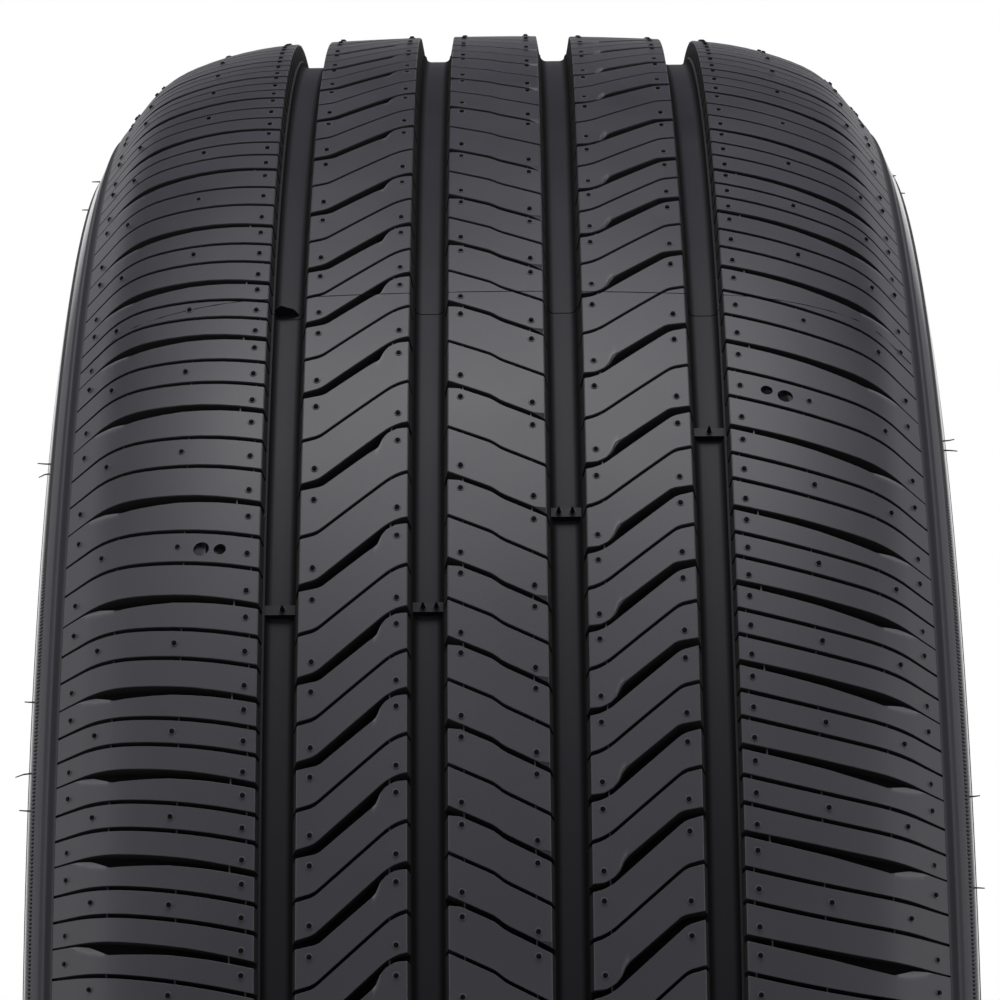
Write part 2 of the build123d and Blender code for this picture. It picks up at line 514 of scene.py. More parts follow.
def rubber(name, dark, pale, gloss, specular, grain_scale, relief, ring_spacing=None):
    """A rubber finish: two tones, two roughness values, its shine, and its grain's scale and depth."""
    material = bpy.data.materials.new(name)
    material.use_nodes = True
    tree = material.node_tree
    here = add_node(tree, "ShaderNodeTexCoord").outputs["Object"]
    skin_inputs = {"Vector": here, "Grain scale": grain_scale, "Cloud scale": cloud_scale}
    skin = add_node(tree, "ShaderNodeGroup", skin_inputs, node_tree=grain_group)
    clouds = skin.outputs["Clouds"]
    tone = mix_tones(tree, clouds, (*dark, 1), (*pale, 1))
    # Painted highlight from the edge attribute, then painted shade from the shade attribute, which also makes
    # those places dull.
    rim = math_node(tree, "POWER", mark_value(tree, "edge"), highlight_falloff)
    tone = mix_tones(tree, rim, tone, highlight_tone)
    deep = mark_value(tree, "shade")
    sheen = add_node(tree, "ShaderNodeMapRange", {"Value": clouds, "To Min": gloss[0], "To Max": gloss[1]})
    dull = add_node(tree, "ShaderNodeMix", {0: deep, 2: sheen, 3: shade_roughness})
    height = skin.outputs["Grain"]
    if ring_spacing:
        ring_inputs = {"Vector": here, "Ring spacing": ring_spacing}
        turning = add_node(tree, "ShaderNodeGroup", ring_inputs, node_tree=rings_group)
        height = math_node(tree, "ADD", height, turning.outputs["Rings"])
    bump = add_node(tree, "ShaderNodeBump", {"Height": height, "Strength": relief, "Distance": relief_height})
    fill(tree.nodes["Principled BSDF"], {
        "Base Color": mix_tones(tree, deep, tone, shade_tone),
        "Roughness": dull,
        "Specular IOR Level": specular,
        "Normal": bump,
    })
    return material


# %% The rubber finishes of this tyre
tread_rubber = rubber(
    "tread_rubber", (0.032, 0.0315, 0.039), (0.040, 0.0393, 0.048), (0.42, 0.48), 0.25, 2600, 0.08
)
# A darker copy of the tread rubber for the groove beds, slot floors, wear bars and hole walls: painted shade
# for their depth.
shaded_bed_rubber = rubber(
    "groove_rubber", (0.021, 0.0207, 0.0255), (0.027, 0.0266, 0.0325), (0.50, 0.58), 0.1, 2200, 0.10
)
# A much darker copy of the tread rubber for the flash, the torn flap and the vent hairs: painted shade.
pip_rubber = rubber(
    "pip_rubber", (0.010, 0.010, 0.012), (0.014, 0.014, 0.016), (0.50, 0.60), 0.12, 2600, 0.05
)
# A paler copy of the tread rubber with little specular: the paler tone is painted sheen in place of the shine
# it lacks.
mark_rubber = rubber(
    "mark_rubber", (0.074, 0.0735, 0.082), (0.084, 0.0835, 0.092), (0.42, 0.48), 0.05, 2600, 0.08
)
side_rubber = rubber(
    "sidewall_rubber", (0.030, 0.0296, 0.0365), (0.038, 0.0375, 0.0455), (0.46, 0.52), 0.1, 2400, 0.08,
    ring_spacing=0.8 * mm,
)
liner_rubber = rubber(
    "liner_rubber", (0.026, 0.0257, 0.031), (0.036, 0.0355, 0.043), (0.40, 0.50), 0.3, 900, 0.2
)
print("finishes", [material.name for material in bpy.data.materials if material.name.endswith("rubber")])

# %% [markdown]
# Seen nearly edge on, a smooth sidewall mirrors the bright room and shows as a light rim. More shine
# all over would also grey the rest of it. So a thin coat is added that a Layer Weight node lets in only
# at grazing angles, and that the dark places marked as shade keep off.

# %% A sidewall that shines where it is seen edge on
shine_start, shine_full, shine_loss = 0.82, 0.93, 4.0
shine_roughness, shine_ior = 0.1, 1.2
tree = side_rubber.node_tree
facing = add_node(tree, "ShaderNodeLayerWeight").outputs["Facing"]
shine = add_node(
    tree, "ShaderNodeMapRange", {"Value": facing, "From Min": shine_start, "From Max": shine_full}
)
matt = math_node(tree, "MULTIPLY", mark_value(tree, "shade"), shine_loss)
shine = math_node(tree, "MAXIMUM", math_node(tree, "SUBTRACT", shine, matt), 0.0)
fill(tree.nodes["Principled BSDF"], {
    "Coat Weight": shine,
    "Coat Roughness": shine_roughness,
    "Coat IOR": shine_ior,
})
print(side_rubber.name, "shines past a facing value of", shine_start)

# %% [markdown]
# A land is a block between two slots. At each of a row of places across the tread its section is the
# same handful of points: up the lower wall, over a small chamfer, across the top, over the other
# chamfer and down again. Where a land ends at a groove its end wall slants, so the bottom of the last
# section moves out into the groove, and the top edge there is bevelled by lowering that section.

# %% Drawing a land
wall_slant = 0.17
wall_shade = 12.0
# A chamfer cut wider than this gets the painted highlight over its whole face, as the scoop and the rib's
# step do.
glint_cut = 0.4
sipe_chamfer = 0.07
groove_chamfer = 0.22
chamfer_slope = 0.8
bed_depth = 6.0
land_root = 0.6


def land(
    blocks, columns, low, high, depth,
    low_cut=sipe_chamfer, high_cut=sipe_chamfer, fall=chamfer_slope, groove_ends=(0, -1),
):
    """Adds one land between two slot edges. A cut is how far a chamfer reaches in at each column."""
    low_cut = np.broadcast_to(low_cut, columns.shape)
    high_cut = np.broadcast_to(high_cut, columns.shape)
    depth = np.broadcast_to(depth, columns.shape)
    inwards = {end % len(columns): np.sign(columns[len(columns) // 2] - columns[end]) for end in groove_ends}
    sections, highlights = [], []
    for i, y in enumerate(columns):
        surface = tread_radius(y)
        wall = i in inwards
        top = surface - groove_chamfer * chamfer_slope if wall else surface
        foot = surface - depth[i]
        foot_y = y - inwards.get(i, 0) * wall_slant * depth[i]
        start, end = low[i] + low_cut[i], high[i] - high_cut[i]
        sections.append([
            (foot, foot_y, low[i]),
            (top - fall * low_cut[i], y, low[i]),
            (top, y, start),
            (top, y, (start + end) / 2),
            (top, y, end),
            (top - fall * high_cut[i], y, high[i]),
            (foot, foot_y, high[i]),
        ])
        # Painted highlight on the chamfered rims, on the end wall's top and over wide cuts; painted shade
        # down the walls from just below the rims.
        highlights.append([0, 1, wall, wall, wall or high_cut[i] > glint_cut, 1, 0])
    blocks.loft(sections, highlights, [[wall_shade, 0, 0, 0, 0, 0, wall_shade]] * len(columns))


def bent_line(corners, at):
    """A line that bends at its corners, each a place and a value, read at given places."""
    places, values = np.array(corners).T
    return np.interp(at, places, values)


def soft_line(corners, at, reach):
    """The same line with its bends softened over a short reach."""
    return np.mean([bent_line(corners, at + d) for d in np.linspace(-reach, reach, 9)], axis=0)


# %% [markdown]
# Each shoulder has one wide slot and two thin sipes in a pitch. They climb outwards on the left and
# fall on the right, along one slight curve. The wide slot opens downwards as it nears the edge of the
# tread, and there a scoop takes over: a broad chamfer on the land below, which catches the light and
# also carries a painted highlight.

# %% Slots of the shoulders
shoulder_edge, scoop_start, tread_end = 59.0, 94.5, 109.9
shoulder_columns = np.array((
    shoulder_edge, 59.22, 62, 66, 70, 75, 80, 85, 89, 92, scoop_start, 95.7, 97, 98.3, 99.5, 101.5, 103, 105,
    107, tread_end,
))
shoulder_depths = [(59, bed_depth), (76, 5.9), (90, 4.6), (104, 2.2), (109, 1.3)]
slot_climb, slot_bend, slot_sag = 0.24, 0.0018, 0.00026
wide_above = [(59, 0.95), (75, 1.3), (95, 1.25), (103, 1.05), (110, 0.95)]
wide_below = [
    (59, 0.8), (70, 0.85), (80, 1.1), (90, 1.9), (scoop_start, 2.2), (99.5, 0.1), (103, -0.4), (110, -0.45)
]
sipe_halves = [(59, 0.63), (99, 0.56), (109, 0.37)]


def shoulder_bed(reach):
    """Depth of the slots' floor across a shoulder: level, then rising to the edge of the tread."""
    return bent_line(shoulder_depths, reach)


def shoulder_line(side, reach):
    """Middle line of a shoulder's slots, from the groove outwards."""
    out = np.asarray(reach) - shoulder_edge
    return -side * (slot_climb * out - slot_bend * out**2) + slot_sag * out**2


def wide_slot(side, reach):
    """Lower and upper edge of a shoulder's wide slot."""
    line = shoulder_line(side, reach)
    return line - bent_line(wide_below, reach), line + bent_line(wide_above, reach)


def thin_sipe(side, reach):
    """Lower and upper edge of a shoulder's thin sipe."""
    half = bent_line(sipe_halves, reach)
    line = shoulder_line(side, reach)
    return line - half, line + half


for name, slot in (("wide slot", wide_slot), ("thin sipe", thin_sipe)):
    print(name, "is", round(float(np.ptp(slot(1, scoop_start))), 2), "mm wide where the scoop starts")

# %% Lands of the shoulders
scoop_line = [(scoop_start, sipe_chamfer), (97, 0.9), (99.5, 1.5), (101.5, 1.0), (105, sipe_chamfer)]
scoop_cut = bent_line(scoop_line, shoulder_columns)
scoop_fall = 0.5
sipe_shares = (0.35, 0.667)


def shoulder_lands(side, length):
    """One pitch of the left (-1) or right (1) shoulder, at a given length."""
    blocks = Blocks()
    wide_low, wide_high = wide_slot(side, shoulder_columns)
    thin_low, thin_high = thin_sipe(side, shoulder_columns)
    first, second = (share * length for share in sipe_shares)
    depth = shoulder_bed(shoulder_columns) + land_root
    columns = side * shoulder_columns
    land(blocks, columns, wide_high, first + thin_low, depth, groove_ends=(0,))
    land(blocks, columns, first + thin_high, second + thin_low, depth, groove_ends=(0,))
    land(
        blocks, columns, second + thin_high, length + wide_low, depth,
        high_cut=scoop_cut, fall=scoop_fall, groove_ends=(0,),
    )
    return blocks


left_shoulder = lay("left_shoulder_lands", partial(shoulder_lands, -1), left_start, 0, tread_rubber)
right_shoulder = lay("right_shoulder_lands", partial(shoulder_lands, 1), right_start, 0, tread_rubber)

# %% [markdown]
# The ribs on each side of the middle are cut by long diagonal slots with level ends. The wide one
# has a step near its inner end, where it suddenly narrows, and the rubber at that step is cut away
# in a slant. The right rib is the left rib turned upside down.

# %% Lands of the inner ribs
rib_columns = np.array((
    -49, -48.78, -47.2, -45.6, -44.4, -43.2, -41, -38, -35, -32.6, -31.2, -30.4, -29.8, -29.3, -28.8,
    -28.2, -27.4, -26.4, -25.2, -24, -22.52, -22.3,
))
wide_upper = [(-50, 0.85), (-44.7, 2.45), (-27.3, 18.2), (-24.5, 19.7), (-21, 20.5)]
wide_lower = [
    (-50, -1.3), (-43.7, 0.0), (-31.0, 11.0), (-29.9, 12.2), (-28.8, 14.9), (-27.3, 16.6), (-25, 17.85),
    (-21, 18.2),
]
thin_path = [(-50, -0.25), (-44.7, 1.2), (-27.0, 17.0), (-24.5, 18.5), (-21, 19.6)]
thin_share = 0.49
thin_half = 0.58
bend_reach, step_reach = 1.0, 0.35
step_place, step_spread, step_chamfer = -29.6, 1.1, 0.9
left_rib_lead, right_rib_lead = 4.7, 5.5


def rib_slots(columns):
    """Edges of the two slots: wide lower, wide upper, thin lower and thin upper."""
    thin = soft_line(thin_path, columns, bend_reach)
    lower = soft_line(wide_lower, columns, step_reach)
    upper = soft_line(wide_upper, columns, bend_reach)
    return lower, upper, thin - thin_half, thin + thin_half


def rib_lands(turn, length):
    """One pitch of an inner rib, turned upside down or not, at a given length."""
    blocks = Blocks()
    lower, upper, thin_low, thin_high = rib_slots(rib_columns)
    thin = thin_share * length
    step_cut = sipe_chamfer + step_chamfer * np.exp(-(((rib_columns - step_place) / step_spread) ** 2))
    depth = bed_depth + land_root
    land(blocks, rib_columns, upper, thin + thin_low, depth)
    land(blocks, rib_columns, thin + thin_high, length + lower, depth, high_cut=step_cut)
    return blocks.half_turned(length) if turn else blocks


left_rib = lay("left_rib_lands", partial(rib_lands, False), left_start, left_rib_lead, tread_rubber)
right_rib = lay("right_rib_lands", partial(rib_lands, True), right_start, right_rib_lead, tread_rubber)

# %% [markdown]
# The centre rib has a thick and a thin slot in each pitch, both falling to the right with a kink in
# the middle. The thick one has level ends: on the left the corner below it is cut off, and on the
# right the corner above it is only chamfered.

# %% Lands of the centre rib
centre_columns = np.array(
    (-12.3, -12.08, -10.6, -9.4, -7, -4.5, -2.6, -1.5, -0.3, 0.8, 2.2, 4.5, 7, 9.4, 10.6, 12.08, 12.3)
)
centre_path = [(-13.5, 0.9), (-1.2, -4.8), (1.3, -6.9), (13.5, -13.1)]
centre_bend_reach = 0.6
thick_half, fine_half = 0.8, 0.54
corner_start, corner_slope = 9.4, 0.37
corner_fall = 0.8
centre_lead = -16.2


def centre_line(columns):
    """Middle of a slot across the centre rib."""
    return soft_line(centre_path, columns, centre_bend_reach)


def centre_lands(length):
    """One pitch of the centre rib, at a given length."""
    blocks = Blocks()
    line = centre_line(centre_columns)
    fine = length / 2
    left_corner = corner_slope * np.clip(-corner_start - centre_columns, 0, None)
    right_corner = sipe_chamfer + corner_slope * np.clip(centre_columns - corner_start, 0, None)
    depth = bed_depth + land_root
    land(
        blocks, centre_columns, line + thick_half, fine + line - fine_half, depth,
        low_cut=right_corner, fall=corner_fall,
    )
    land(blocks, centre_columns, fine + line + fine_half, length + line - thick_half - left_corner, depth)
    return blocks


centre_rib = lay("centre_rib_lands", centre_lands, right_start, centre_lead, tread_rubber)

# %% [markdown]
# Under the lands lies the carcass: the groove beds, the floors of the slots, the sidewalls, the beads
# and the liner. All of it is one section swept round the axis, so the section is drawn once, as a
# closed outline, and repeated on a ring of columns. Each groove has a narrow ledge on both sides of
# its bed, and the bed's corners are rounded. A shallow channel runs beside the tread.

# %% The carcass: groove beds and shoulder
inner_groove, outer_groove = 17.25, 53.9
groove_middles = (inner_groove, outer_groove)
groove_depth = 7.4
bed_half, corner_half, ledge_half = 2.0, 3.8, 4.4
corner_depth, ledge_depth = 5.5, 5.2
centre_bed_half, rib_bed_places = 10, (26, 36, 46)
shoulder_reach = np.array((62, 69, 76, 83, 90, 97, 104, 109.2))
channel = [(109.5, 0.06), (109.9, 0.03), (110.05, -0.4), (110.7, -0.55), (111.3, -0.4), (111.7, -0.05)]


def groove_bed(middle):
    """A groove's floor with rounded corners and ledges, from its inner side to its outer side."""
    surface = tread_radius(middle)
    floor = surface - groove_depth
    corner_top = (middle + corner_half, surface - corner_depth)
    corner, _ = tangent_arc((middle + bed_half, floor), (1, 0), corner_top, steps=5)
    half = np.vstack((corner, [(middle + ledge_half, surface - ledge_depth)]))
    return np.vstack((half[::-1] * (-1, 1) + (2 * middle, 0), half))


shoulder_radius = tread_radius(shoulder_reach) - shoulder_bed(shoulder_reach)
channel_line = [(y, tread_radius(y) + rise) for y, rise in channel]
bed_line = np.vstack((
    [(y, crown - bed_depth) for y in (0, centre_bed_half)],
    groove_bed(inner_groove),
    [(y, tread_radius(y) - bed_depth) for y in rib_bed_places],
    groove_bed(outer_groove),
    np.column_stack((shoulder_reach, shoulder_radius)),
))
print("bed line has", len(bed_line), "points")

# %% The carcass: sidewall, bead and liner
# Shares of the section's height
widest_share, rim_line_share = 0.486, 0.3
# Places in from the widest side, and below the crown, the liner's top or the rim line
lip_root, liner_end = (7.4, 31.2), (53.0, 2.25)
guard_top, guard_end, guard_nose = (2.5, 0.0), (2.1, 3.5), (6.8, 9.2)
# Places out from the bead's face or its toe, and above the seat
flange_root, bead_top = (4.5, 18.3), (0.0, 11.5)
toe_root, toe, toe_top, apex = (4.5, 0.0), (0.0, 1.6), (2.4, 9.0), (17.4, 21.5)
bead_width, side_gauge, crown_gauge = 21.0, 8.6, 15.5


def on_bead(face_y, point):
    """A point of the section, from how far it lies out from a face of the bead and above the seat."""
    out, rise = point
    return face_y + out, seat + rise


height = crown - seat
widest = (half_width, seat + widest_share * height)
rim_line = seat + rim_line_share * height
inner_widest = (half_width - side_gauge, widest[1] - side_gauge / 2)
inner_crown = crown - crown_gauge
toe_y = rim_half - bead_width
up, down, outwards = (0, 1), (0, -1), (1, 0)
upper_side, _ = tangent_arc(widest, up, below(crown, lip_root), steps=16)
flank, _ = tangent_arc(widest, down, below(rim_line, guard_top), steps=10)
nose, _ = tangent_arc(below(rim_line, guard_end), down, below(rim_line, guard_nose), steps=6)
flange, _ = tangent_arc(on_bead(rim_half, bead_top), up, on_bead(rim_half, flange_root), steps=6)
heel, _ = tangent_arc((rim_half, seat + heel_chamfer), down, (rim_half - heel_chamfer, seat), steps=6)
bead_toe = [on_bead(toe_y, point) for point in (toe_root, toe, toe_top)]
inner_side, _ = tangent_arc(inner_widest, down, on_bead(toe_y, apex), steps=8)
liner, lean = tangent_arc((0, inner_crown), outwards, below(inner_crown, liner_end), steps=6)
liner_shoulder, _ = tangent_arc(liner[-1], lean, inner_widest, steps=16)
print(f"section height {height:.1f} mm, widest at a radius of {widest[1]:.1f} mm")

# %% [markdown]
# The upper sidewall has two thin raised ribs and, between them, a sunk band that will hold fine
# ridges. Each is written as a middle, a half width and a rise, and is worked into the smooth line.
# Then the outline closes: out along the beds and down the side, back up inside, and mirrored.

# %% The carcass: bands of the sidewall and the closed section
upper_rib, lower_rib = widest[1] + 19.6, widest[1] + 2.0
side_rib_half, side_rib_rise, band_ramp = 0.25, 0.25, 0.2
serration_middle, serration_half, serration_sunk = widest[1] + 13.6, 0.8, 0.5
side_bands = [
    (upper_rib, side_rib_half, side_rib_rise),
    (serration_middle, serration_half, -serration_sunk),
    (lower_rib, side_rib_half, side_rib_rise),
]


def side_reach(radius):
    """How far from the middle the smooth sidewall lies at a radius."""
    return float(np.interp(radius, upper_side[:, 1], upper_side[:, 0]))


def with_bands(line, bands):
    """A sidewall line, listed from its top, with raised or sunk bands: middle, half width and rise."""
    points = list(map(tuple, line))
    for middle, half, rise in bands:
        points = [p for p in points if abs(p[1] - middle) > half + band_ramp]
        for step, share in ((-half - band_ramp, 0), (-half, 1), (half, 1), (half + band_ramp, 0)):
            points.append((side_reach(middle + step) + share * rise, middle + step))
    return np.array(sorted(points, key=lambda point: -point[1]))


side_line = with_bands(upper_side[::-1], side_bands)
outer = np.vstack((bed_line, channel_line, [lip], side_line, flank[1:], nose, flange[::-1], heel, bead_toe))
inner = np.vstack((inner_side[::-1], liner_shoulder[::-1][1:], liner[::-1][1:]))
half_section = np.vstack((outer, inner))
section = np.vstack((half_section, half_section[::-1][1:-1] * (-1, 1)))
print("carcass section has", len(section), "points")

# %% The carcass swept round
around = 300
carcass_crease = radians(33)


def swept(name, section, steps):
    """A closed ring with a section that is swept round the spin axis."""
    angles = np.arange(steps) * 2 * pi / steps
    points = [(r * cos(a) * mm, y * mm, r * sin(a) * mm) for a in angles for y, r in section]
    count = len(section)
    faces = []
    for i in range(steps):
        here, after = i * count, (i + 1) % steps * count
        for k in range(count):
            k_after = (k + 1) % count
            faces.append((here + k, here + k_after, after + k_after, after + k))
    mesh = bpy.data.meshes.new(name)
    mesh.from_pydata(points, [], faces)
    face_outwards(mesh)
    return mesh


def finish_number(k):
    """Which finish the stretch after point k of the section has: bed, side or liner."""
    place = k if k < len(half_section) else len(section) - 1 - k
    return int(place >= len(bed_line)) + int(place >= len(outer))


carcass_mesh = swept("carcass", section, around)
for material in (shaded_bed_rubber, side_rubber, liner_rubber):
    carcass_mesh.materials.append(material)
finish_numbers = [finish_number(k) for k in range(len(section))] * around
carcass_mesh.polygons.foreach_set("material_index", finish_numbers)
smooth_faces(carcass_mesh, carcass_crease)
carcass = place_object("carcass", carcass_mesh)
print("carcass has", 2 * len(carcass_mesh.polygons), "triangles")

# %% [markdown]
# Light hardly reaches the corners of a groove, the floor of a slot or the recess of the serrations.
# The render finds some of that darkness by itself, but soft room light still gets in, so the
# carcass's points also carry painted shade: none in the middle of a groove's bed, full at its corners,
# under the slots and in that recess, and partial in the channel beside the tread. The outer ledge of
# each outer groove and the lip get a painted highlight, the ledge with a little painted shade over it.

# %% Painted shade in the carcass's corners and painted highlights on its edges
shade_start, shade_full, ledge_highlight, ledge_shade = 1.9, 3.3, 0.68, 0.15
channel_shade = (0.2, 0.25, 0.55, 0.55, 0.45, 0.25)
slack = 0.01


def all_round(half_values):
    """Values of the half section's points, for every point of the swept carcass."""
    return np.tile(np.concatenate((half_values, half_values[::-1][1:-1])), around)


bed_end = len(bed_line)
lip_index = bed_end + len(channel_line)
bed_y = bed_line[:, 0]
from_middle = np.min(np.abs(bed_y[:, None] - groove_middles), axis=1)
ledge_out = bed_y - outer_groove
on_ledge = (ledge_out > corner_half - slack) & (ledge_out < ledge_half + slack)
in_recess = np.abs(half_section[:, 1] - serration_middle) < serration_half + slack
highlights = np.zeros(len(half_section))
highlights[:bed_end][on_ledge] = ledge_highlight
highlights[lip_index] = 1
shades = np.zeros(len(half_section))
shades[:bed_end] = np.clip((from_middle - shade_start) / (shade_full - shade_start), 0, 1)
shades[:bed_end][on_ledge] = ledge_shade
shades[bed_end:lip_index] = channel_shade
shades[in_recess & (half_section[:, 0] > lip[0])] = 1
mark_points(carcass_mesh, all_round(highlights), all_round(shades))
print(int(on_ledge.sum()), "ledge points of", len(half_section), "are light")

# %% [markdown]
# Air leaves a mould through small vents, and rubber follows it in. Trimmed vents leave a low collar
# with a short stub, some two dozen across each pitch. They stand square to the tread and differ a
# little in height, with a fixed seed so that each run gives the same tyre. The slots are also crossed
# by small bridges, where the blades that form them are joined. Both are drawn per pitch, as the lands
# are. Their finish hardly shines and is paler than the tread's, a painted sheen in place of that
# shine; the collars' rims get a painted highlight, and the stubs get painted shade that makes them black.

# %% Drawing vent pips and bridges
# Each ring of a collar has a radius, a rise and how much painted highlight it gets
pip_rings = ((1.1, -0.12, 0), (0.95, 0.14, 1), (0.66, 0.16, 0))
pip_sides, slope_reach = 8, 0.2
stub_radius, stub_height, stub_taper = 0.66, 0.5, 0.2
stub_range = (0.65, 1.3)
bridge_half, bridge_top, bridge_foot, bridge_overlap = 0.18, 0.75, 2.0, 0.15


def spokes(first, second, count):
    """Unit vectors all round, in the plane of two directions."""
    angles = np.arange(count) * 2 * pi / count
    return np.outer(np.cos(angles), first) + np.outer(np.sin(angles), second)


def pip(blocks, y, s, height, base=None):
    """A vent's collar and stub, square to the tread or standing on a given radius."""
    rise = float(tread_radius(y + slope_reach) - tread_radius(y - slope_reach))
    slope = 0.0 if base else rise / (2 * slope_reach)
    out = np.array((1, -slope, 0)) / np.hypot(1, slope)
    across = np.array((-out[1], out[0], 0))
    root = np.array((base or float(tread_radius(y)), y, s))
    rings = (*pip_rings, (stub_radius - stub_taper * height, height, 0))
    sides = spokes((0, 0, 1), across, pip_sides)
    sections = [root + out * rise + radius * sides for radius, rise, _ in rings]
    # Painted shade on the stub's top ring makes the whole stub black; the collar's rings get their painted
    # highlight.
    shades = [[0] * pip_sides] * len(pip_rings) + [[wall_shade] * pip_sides]
    blocks.loft(sections, [[ring_highlight] * pip_sides for _, _, ring_highlight in rings], shades)


def bar_section(y, foot, top, low, high, draft=0.0):
    """Four corners of a bar at a place across the tread, its foot longer than its top by a draft."""
    return [(foot, y, low - draft), (top, y, low), (top, y, high), (foot, y, high + draft)]


def bridge(blocks, y, low, high):
    """A small bridge across a slot, just below the tread."""
    radius = float(tread_radius(y))
    low, high = low - bridge_overlap, high + bridge_overlap
    blocks.loft([
        bar_section(place, radius - bridge_foot, radius - bridge_top, low, high)
        for place in (y - bridge_half, y + bridge_half)
    ])


def stub_heights(seed):
    """An endless run of slightly different heights."""
    chance = np.random.default_rng(seed)
    while True:
        yield stub_height * chance.uniform(*stub_range)


print("stubs stand", [round(stub_height * share, 2) for share in stub_range], "mm out of the tread")

# %% Pips and bridges of the shoulders
land_pips = [(62, 0.13), (62, 0.49), (62, 0.86), (79.6, 0.51), (99.2, 0.51), (106, 1 / 6), (106, 5 / 6)]
thin_bridges, wide_bridge = (61, 78, 95), 65
shoulder_seed = 10


def shoulder_marks(side, length):
    """The pips and bridges on one pitch of a shoulder."""
    blocks = Blocks()
    heights = stub_heights(int(shoulder_seed * length))
    for reach, share in land_pips:
        pip(blocks, side * reach, float(shoulder_line(side, reach)) + share * length, next(heights))
    for reach in thin_bridges:
        low, high = thin_sipe(side, reach)
        for share in sipe_shares:
            bridge(blocks, side * reach, share * length + low, share * length + high)
    bridge(blocks, side * wide_bridge, *wide_slot(side, wide_bridge))
    return blocks


left_shoulder_marks = lay("left_shoulder_marks", partial(shoulder_marks, -1), left_start, 0, mark_rubber)
right_shoulder_marks = lay("right_shoulder_marks", partial(shoulder_marks, 1), right_start, 0, mark_rubber)

# %% Pips and bridges of the ribs
rib_pip_places, rib_pip_shares = (-45.7, -24.9), (0.27, 0.73)
rib_bridge_place = -26.5
centre_pip_places, centre_pip_shares = (-9.1, 9.1), (0.13, 0.88)
centre_bridge_places = (-8.5, 8.7)
rib_seed, centre_seed = 11, 12


def rib_marks(turn, length):
    """The pips and bridges on one pitch of an inner rib."""
    blocks = Blocks()
    heights = stub_heights(int(rib_seed * length))
    thin = thin_share * length
    low_share, high_share = rib_pip_shares
    for y in rib_pip_places:
        lower, upper, thin_low, thin_high = map(float, rib_slots(y))
        first = upper + low_share * (thin + thin_low - upper)
        second = thin + thin_high + high_share * (length + lower - thin - thin_high)
        pip(blocks, y, first, next(heights))
        pip(blocks, y, second, next(heights))
    lower, upper, thin_low, thin_high = map(float, rib_slots(rib_bridge_place))
    bridge(blocks, rib_bridge_place, lower, upper)
    bridge(blocks, rib_bridge_place, thin + thin_low, thin + thin_high)
    return blocks.half_turned(length) if turn else blocks


def centre_marks(length):
    """The pips and bridges on one pitch of the centre rib."""
    blocks = Blocks()
    heights = stub_heights(int(centre_seed * length))
    for y in centre_pip_places:
        line = float(centre_line(y))
        for share in centre_pip_shares:
            pip(blocks, y, line + share * length, next(heights))
    for y in centre_bridge_places:
        line = float(centre_line(y))
        bridge(blocks, y, line - thick_half, line + thick_half)
        bridge(blocks, y, line + length / 2 - fine_half, line + length / 2 + fine_half)
    return blocks


left_rib_marks = lay("left_rib_marks", partial(rib_marks, False), left_start, left_rib_lead, mark_rubber)
centre_rib_marks = lay("centre_rib_marks", centre_marks, right_start, centre_lead, mark_rubber)
right_rib_marks = lay("right_rib_marks", partial(rib_marks, True), right_start, right_rib_lead, mark_rubber)

# %% [markdown]
# Six wear bars cross each groove. They are low blocks on the groove's bed, and each second one carries
# one or two stubs of its own. The bars of the two right grooves sit further round, as their slots do.
# One bar is drawn for each groove, and the ring tree sets its copies.

# %% Wear bars
bar_count, bar_height, bar_half_length, bar_half_width = 6, 1.6, 1.35, 4.6
bar_draft, bar_root = 0.3, 0.6
bar_stub_height = 2.3
bar_rows = [
    ("left_outer", -outer_groove, radians(30.65), (-53.3,)),
    ("left_inner", -inner_groove, radians(30.6), (-18.5, -15.2)),
    ("right_inner", inner_groove, radians(35.4), (15.4, 18.8)),
    ("right_outer", outer_groove, radians(40.0), (53.9,)),
]
wear_bars = []
for name, middle, first_angle, stubs in bar_rows:
    floor_radius = float(tread_radius(middle)) - groove_depth
    foot, top = floor_radius - bar_root, floor_radius + bar_height
    bar_sections = [
        bar_section(y, foot, top, -bar_half_length, bar_half_length, bar_draft)
        for y in (middle - bar_half_width, middle + bar_half_width)
    ]
    blocks = Blocks()
    # Painted shade at the lower foot turns the bar's lower face black.
    blocks.loft(bar_sections, shades=[[wall_shade, 0, 0, 0]] * 2)
    wear_bars.append(repeat(f"{name}_wear_bars", blocks, bar_count, first_angle, shaded_bed_rubber))
    stub_blocks = Blocks()
    for stub in stubs:
        pip(stub_blocks, stub, 0, bar_stub_height, top)
    wear_bars.append(repeat(f"{name}_bar_stubs", stub_blocks, bar_count // 2, first_angle, shaded_bed_rubber))

# %% [markdown]
# The mould's ring is made of segments. Where two of them meet, rubber creeps into the joint and
# leaves a thin fin that follows the tread over every land and through every groove. Its path is the
# section's own outline, and the fin stands square to that path.

# %% Mould flash between the segments
flash_count, flash_angle = 9, radians(47.75)
flash_half, flash_height, flash_root = 0.08, 0.16, 0.3


def on_tread(*places):
    """Points on the tread's outline."""
    return [(y, float(tread_radius(y))) for y in places]


